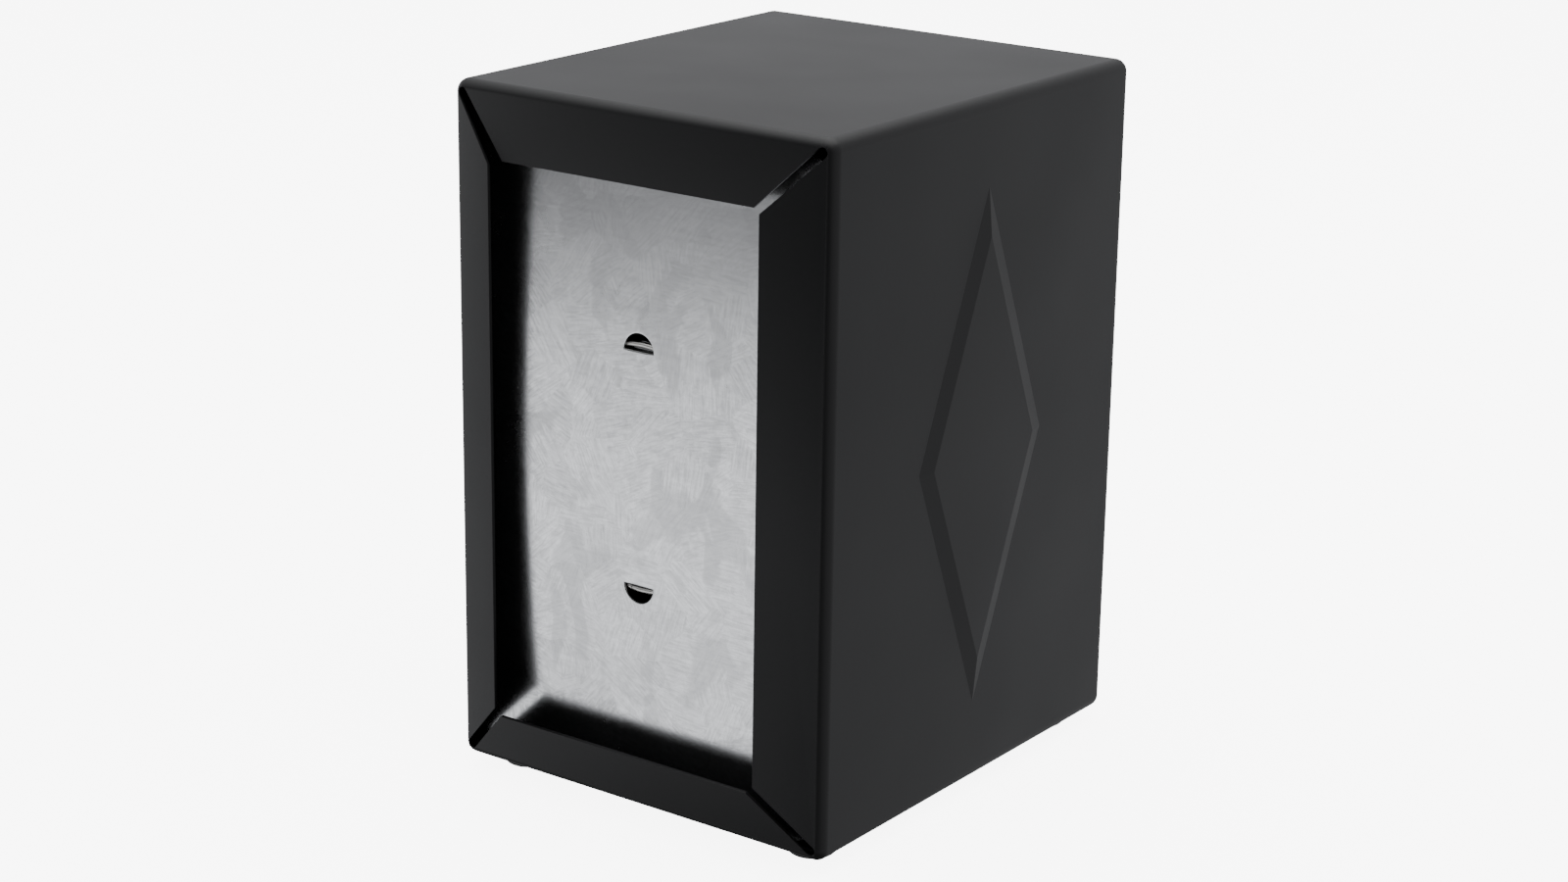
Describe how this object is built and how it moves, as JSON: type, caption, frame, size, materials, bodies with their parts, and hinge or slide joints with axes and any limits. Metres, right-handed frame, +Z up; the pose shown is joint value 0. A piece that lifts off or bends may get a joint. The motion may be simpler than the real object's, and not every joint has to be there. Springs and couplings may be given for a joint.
{
  "type": "napkin dispenser",
  "caption": "Tabletop napkin dispenser: folded steel sleeve open at both ends, mitred lips, sprung follower plate behind each opening, raised side diamonds and rubber feet.",
  "frame": {"origin": "on the ground, under the middle of the case (bottom centre of the bounding box)", "axes": "+Z up, the front opening faces -Y, +X to the right seen from the front; the rear opening faces +Y"},
  "size_m": [0.0958, 0.1176, 0.149],
  "materials": {
    "powder_coat": "satin black powder coat on folded sheet steel",
    "galvanised_sheet": "bright spangled hot-dip galvanised sheet",
    "spring_wire": "bright zinc-plated drawn wire",
    "foot_rubber": "matt moulded black rubber"
  },
  "bodies": {
    "case": {"case_shell": "powder_coat", "plate_spring": "spring_wire", "foot_front_left": "foot_rubber", "foot_front_right": "foot_rubber", "foot_rear_left": "foot_rubber", "foot_rear_right": "foot_rubber"},
    "front_follower": {"front_plate": "galvanised_sheet"},
    "rear_follower": {"rear_plate": "galvanised_sheet"}
  },
  "joints": [
    {"name": "front_plate_slide", "type": "slide", "parent": "case", "child": "front_follower", "axis": [0, 1, 0], "range_m": [0, 0.042], "stiffness_N_per_m": 46, "springref_m": -0.0325, "deforming": ["plate_spring"]},
    {"name": "rear_plate_slide", "type": "slide", "parent": "case", "child": "rear_follower", "axis": [0, -1, 0], "range_m": [0, 0.042], "stiffness_N_per_m": 46, "springref_m": -0.0325, "deforming": ["plate_spring"]}
  ]
}
